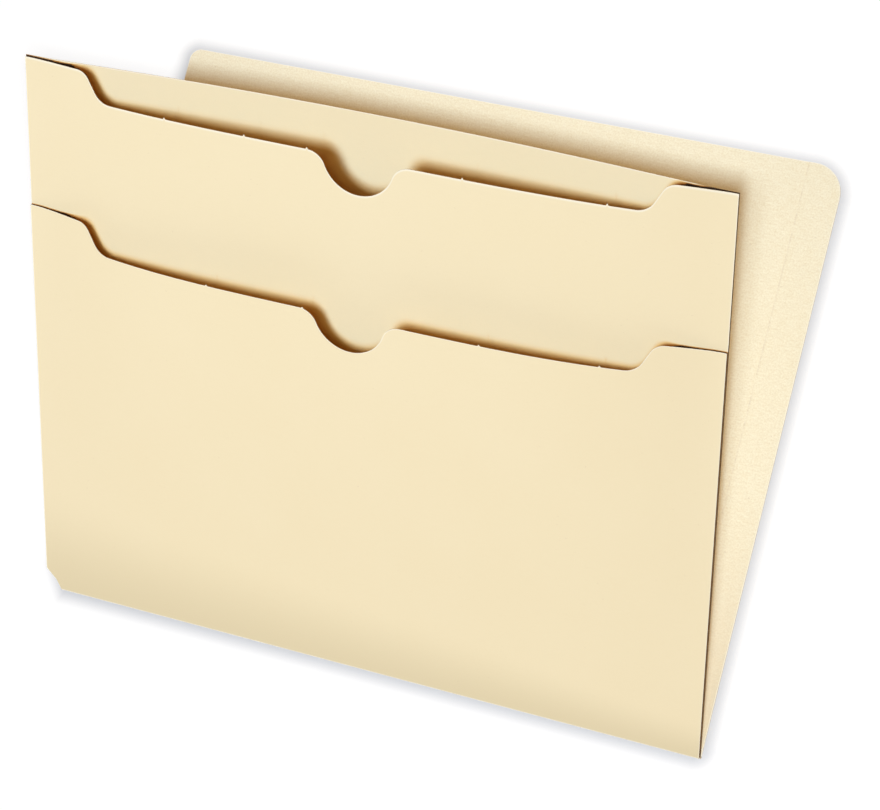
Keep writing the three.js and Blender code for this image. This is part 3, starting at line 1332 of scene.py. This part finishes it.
@dataclass
class FoldStrip:
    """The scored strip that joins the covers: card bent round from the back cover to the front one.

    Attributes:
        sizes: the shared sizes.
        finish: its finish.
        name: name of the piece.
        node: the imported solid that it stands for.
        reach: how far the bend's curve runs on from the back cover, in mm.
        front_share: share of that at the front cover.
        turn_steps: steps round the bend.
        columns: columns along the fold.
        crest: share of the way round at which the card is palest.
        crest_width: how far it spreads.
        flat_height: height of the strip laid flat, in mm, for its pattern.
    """

    sizes: Sizes
    finish: PaleFoldCrest
    name: str = "fold_strip"
    node: str = "fold_crease"
    reach: float = 1.15
    front_share: float = 0.95
    turn_steps: int = 24
    columns: int = 90
    crest: float = 0.55
    crest_width: float = 0.22
    flat_height: float = 3.0

    def centre_line(self) -> tuple[Array, Array]:
        """Middle of the card across the fold, as a cubic Bezier curve from cover to cover.

        Returns:
            Points (y, z) from the fold line and the unit normals on the outer side. The curve leaves
            the back cover along -y and meets the front cover along its slope.
        """
        sizes, half = self.sizes, self.sizes.card / 2
        turn = np.radians(sizes.opening)
        slope = np.array([np.cos(turn), np.sin(turn)])
        outward = np.array([-np.sin(turn), np.cos(turn)])
        start = np.array([sizes.crease_start, half])
        end = np.array([0.0, sizes.fold_height]) + sizes.cover_foot * slope + half * outward
        one, two = start - [self.reach, 0.0], end - self.front_share * self.reach * slope
        t = np.linspace(0, 1, self.turn_steps + 1)[:, None]
        line = (1 - t) ** 3 * start + 3 * (1 - t) ** 2 * t * one + 3 * (1 - t) * t ** 2 * two + t ** 3 * end
        tangent = 3 * (1 - t) ** 2 * (one - start) + 6 * (1 - t) * t * (two - one)
        tangent += 3 * t ** 2 * (end - two)
        tangent /= np.linalg.norm(tangent, axis=1, keepdims=True)
        return line, np.stack([-tangent[:, 1], tangent[:, 0]], axis=1)

    def build(self) -> bpy.types.Object:
        """Carries the bent section along the fold.

        Returns:
            The finished strip.
        """
        sizes = self.sizes
        line, normal = self.centre_line()
        across = np.linspace(sizes.foot_inset, sizes.width, self.columns)
        layers = []
        for offset in (-sizes.card / 2, sizes.card / 2):
            section = line + offset * normal
            x = np.repeat(across[:, None], len(section), axis=1) - sizes.width / 2
            y = np.repeat(section[None, :, 0], self.columns, axis=0) - sizes.height / 2
            z = np.repeat(section[None, :, 1], self.columns, axis=0)
            layers.append(np.stack([x, y, z], axis=-1).reshape(-1, 3) * MM)
        rows = len(line)
        place = np.arange(self.columns * rows).reshape(self.columns, rows)
        faces, rims = sheet_faces(place, self.columns * rows)
        piece = mesh_piece(self.name, np.vstack(layers), np.vstack([faces, rims]))
        share = np.linspace(0, 1, rows)
        crest = np.exp(-((share - self.crest) / self.crest_width) ** 2)
        store(piece.data, "card_bend", "FLOAT", np.tile(np.tile(crest, self.columns), 2))
        flat = np.stack([np.repeat(across, rows), np.tile(share * self.flat_height, self.columns),
                         np.zeros(self.columns * rows)], axis=1)
        store(piece.data, "card_place", "FLOAT_VECTOR", np.vstack([flat, flat]))
        mark_cut_edges(piece.data, place, self.columns * rows)
        piece.data.materials.append(material_of(self.finish))
        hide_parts(self.node)
        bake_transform(piece)
        return piece


@dataclass
class GlueLines:
    """The glue under the pockets and the tab, whose solids keep their shape."""

    nodes: dict[str, bpy.types.Object]
    finish: GlueFilm

    def dress(self) -> list[str]:
        """Gives every glue solid its film.

        Returns:
            The names of the nodes that were dressed.
        """
        names = sorted(name for name in self.nodes if "glue" in name or "adhesive" in name)
        film = material_of(self.finish)
        for name in names:
            data = self.nodes[name].data
            data.materials.clear()
            data.materials.append(film)
        return names


MATERIALS: dict[Any, bpy.types.Material] = {}


def material_of(finish: Any) -> bpy.types.Material:
    """A finish's material, built once and shared."""
    if finish not in MATERIALS:
        MATERIALS[finish] = finish.material()
    return MATERIALS[finish]


# Studio


@dataclass(frozen=True)
class Lamp:
    """A square area light aimed at a point.

    Attributes:
        name: name of the light.
        place: where it hangs, in metres.
        aim: what it points at.
        size: side in metres.
        power: watts.
        colour: linear colour.
        falls_on: what it lights, or everything where this is empty.
    """

    name: str
    place: Triple
    aim: Triple
    size: float
    power: float
    colour: Triple = (1.0, 1.0, 1.0)
    falls_on: tuple[bpy.types.Object, ...] = ()

    def hang(self) -> None:
        """Adds the light to the scene and links it to what it lights."""
        light = bpy.data.lights.new(self.name, "AREA")
        light.shape, light.size, light.energy, light.color = "SQUARE", self.size, self.power, self.colour
        lamp = bpy.data.objects.new(self.name, light)
        bpy.context.scene.collection.objects.link(lamp)
        lamp.location = self.place
        lamp.rotation_mode = "QUATERNION"
        lamp.rotation_quaternion = (Vector(self.aim) - Vector(self.place)).to_track_quat("-Z", "Y")
        if self.falls_on:
            lit = bpy.data.collections.new(f"{self.name}_lights")
            for thing in self.falls_on:
                lit.objects.link(thing)
            lamp.light_linking.receiver_collection = lit


@dataclass
class Studio:
    """Floor, light and camera of the photograph.

    Attributes:
        floor: finish of the floor.
        ambient: linear colour of the light from all round.
        ambient_strength: its strength.
        floor_size: side of the floor in metres.
        floor_drop: how far it lies under the back cover, in metres.
        middle: the point that most lamps aim at.
        cool: linear colour of the lamps for the back cover.
        sensor: width of the camera's sensor in mm.
        focal_pixels: focal length in pixels of the photograph.
        frame_pixels: width of the photograph in pixels.
        eye: place of the camera.
        right: its direction to the right of the picture.
        down: its direction down the picture.
    """

    floor: PaleFloor
    ambient: Triple = (1.0, 0.66, 0.37)
    ambient_strength: float = 0.33
    floor_size: float = 8.0
    floor_drop: float = 0.00005
    middle: Triple = (0.0, -0.02, 0.05)
    cool: Triple = (0.562, 0.742, 1.0)
    sensor: float = 36.0
    focal_pixels: float = 3000.0
    frame_pixels: float = 880.0
    eye: Triple = (0.465257, -0.091631, 1.150567)
    right: Triple = (0.905635, 0.247395, -0.344414)
    down: Triple = (0.205862, -0.966552, -0.152967)

    def lay_floor(self) -> bpy.types.Object:
        """One large pale square under the back cover.

        Returns:
            The floor.
        """
        half, low = self.floor_size / 2, -self.floor_drop
        points = np.array([[-half, -half, low], [half, -half, low], [half, half, low], [-half, half, low]])
        floor = mesh_piece("floor", points, np.array([[0, 1, 2, 3]]))
        floor.data.materials.append(material_of(self.floor))
        floor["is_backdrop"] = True
        return floor

    def light(self, front: tuple[bpy.types.Object, ...], back: tuple[bpy.types.Object, ...],
              floor: bpy.types.Object) -> None:
        """Hangs the lamps and fills the room with a warm ambient.

        Args:
            front: pieces of the front half, lit from in front of their faces.
            back: pieces of the back half, lit from beside the camera.
            floor: the floor.
        """
        world = bpy.data.worlds.new("studio")
        world.use_nodes = True
        background = world.node_tree.nodes["Background"]
        background.inputs["Color"].default_value = (*self.ambient, 1.0)
        background.inputs["Strength"].default_value = self.ambient_strength
        bpy.context.scene.world = world
        lamps = [
            Lamp("key", (-0.105, -0.563, 1.713), self.middle, 0.56, 31.5, (0.62, 0.78, 1.0), front),
            Lamp("wash", (0.4550, -0.1325, 1.1518), (-1.3, 0.30, 0.45), 0.08, 20.9, self.cool, back),
            Lamp("side_wash", (0.3950, -0.1325, 1.1700), (-1.35, 0.30, 0.45), 0.10, 6.0, self.cool, back),
            Lamp("floor_wash", (0.45, -0.10, 1.16), self.middle, 0.11, 8.2, falls_on=(floor,)),
            Lamp("rear", (0.1, 1.3, 0.12), self.middle, 0.6, 2.5, (0.70, 0.85, 1.0), front),
        ]
        for lamp in lamps:
            lamp.hang()

    def stand_camera(self) -> None:
        """Stands the camera at the photograph's place, with its axes as the columns of its rotation."""
        lens = bpy.data.cameras.new("camera")
        lens.sensor_width = self.sensor
        lens.lens = self.focal_pixels * self.sensor / self.frame_pixels
        camera = bpy.data.objects.new("camera", lens)
        bpy.context.scene.collection.objects.link(camera)
        right, up = Vector(self.right).normalized(), -Vector(self.down).normalized()
        back = right.cross(up)
        turn = Matrix((right, up, back)).transposed().to_4x4()
        camera.matrix_world = Matrix.Translation(self.eye) @ turn
        bpy.context.scene.camera = camera
        bpy.context.scene.view_settings.view_transform = "Standard"
        bpy.context.scene.view_settings.look = "None"


def main() -> None:
    """Builds the folder piece by piece, then the studio."""
    logging.basicConfig(level=logging.INFO, format="%(name)s: %(message)s")
    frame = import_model()
    packed = [corner.copy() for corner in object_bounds()]
    sizes = Sizes()
    edge = CutEdge("manila_cut_edge")
    # The lips' cut edges are dark brown: partly their own colour, partly painted shade for the dark line
    # along each lip.
    lip_edge = CutEdge("manila_lip_edge", core=(0.45, 0.29, 0.14),
                       stroke=Layer((0.28, 0.17, 0.08), 0.5, 0.75, 0.6))
    outside = ManilaCard("manila_outside_card")
    # The lower pocket's card is darker towards the fold.
    foot_toned = ManilaCard("manila_lower_pocket", toned=1.0)
    # The inside card darkens towards the fold: painted shade of the front half standing over the back
    # cover.
    inside = ManilaCard("manila_inside_card", pale=(0.98, 0.85, 0.58), deep=(0.85, 0.68, 0.40),
                        cloud=0.12, fibre=0.45, tooth=0.95, flecks=0.6,
                        fold_colour=(0.78, 0.585, 0.335), toned=0.72, tone_reach=(110.0, 0.0))
    upper = Lip(sizes, sizes.height - 0.6, (66.4, 101.9, 128.9, 193.5, 250.4))
    lower = Lip(sizes, sizes.height - 63.5, (88.0, 130.6, 205.0, 252.2), nick_height=0.7)
    pockets = [
        Pocket(sizes, "upper_pocket_card", "upper_pocket", Side.OUTSIDE, outside, lip_edge, lip=upper,
               level=1, side_gloom=0.12),
        Pocket(sizes, "lower_pocket_card", "lower_pocket", Side.OUTSIDE, foot_toned, lip_edge, lip=lower,
               level=2, bow=Bow(14.2, 4.0, 1.6, side_seam=1.0), edge_lift=0.12, edge_inset=0.1,
               ear_shade=0.65, ear_reach=28.0),
    ]
    pockets[0].covered_by = pockets[1]
    cards: list[Card] = [
        BackCover(sizes, "back_panel", "back_cover", Side.INSIDE, inside, edge),
        SideTab(sizes, "tab_ply", "tab_reinforcement", Side.INSIDE, inside, edge),
        FrontCover(sizes, "front_panel", "front_cover", Side.OUTSIDE, outside, edge, covered_by=pockets[0]),
        *pockets,
    ]
    build: list[Callable[[], bpy.types.Object]] = [card.build for card in cards]
    build.append(FoldStrip(sizes, PaleFoldCrest()).build)
    pieces = [make() for make in build]
    for piece in pieces:
        LOG.info("%s: %d faces", piece.name, len(piece.data.polygons))
    glue = GlueLines(frame["nodes"], GlueFilm()).dress()
    LOG.info("glue on %s", ", ".join(glue))
    studio = Studio(PaleFloor())
    floor = studio.lay_floor()
    back = (pieces[0], pieces[1], frame["nodes"]["tab_adhesive"])
    front = tuple(pieces[2:]) + tuple(frame["nodes"][name] for name in glue if name != "tab_adhesive")
    studio.light(front, back, floor)
    studio.stand_camera()


if __name__ == "__main__":
    main()
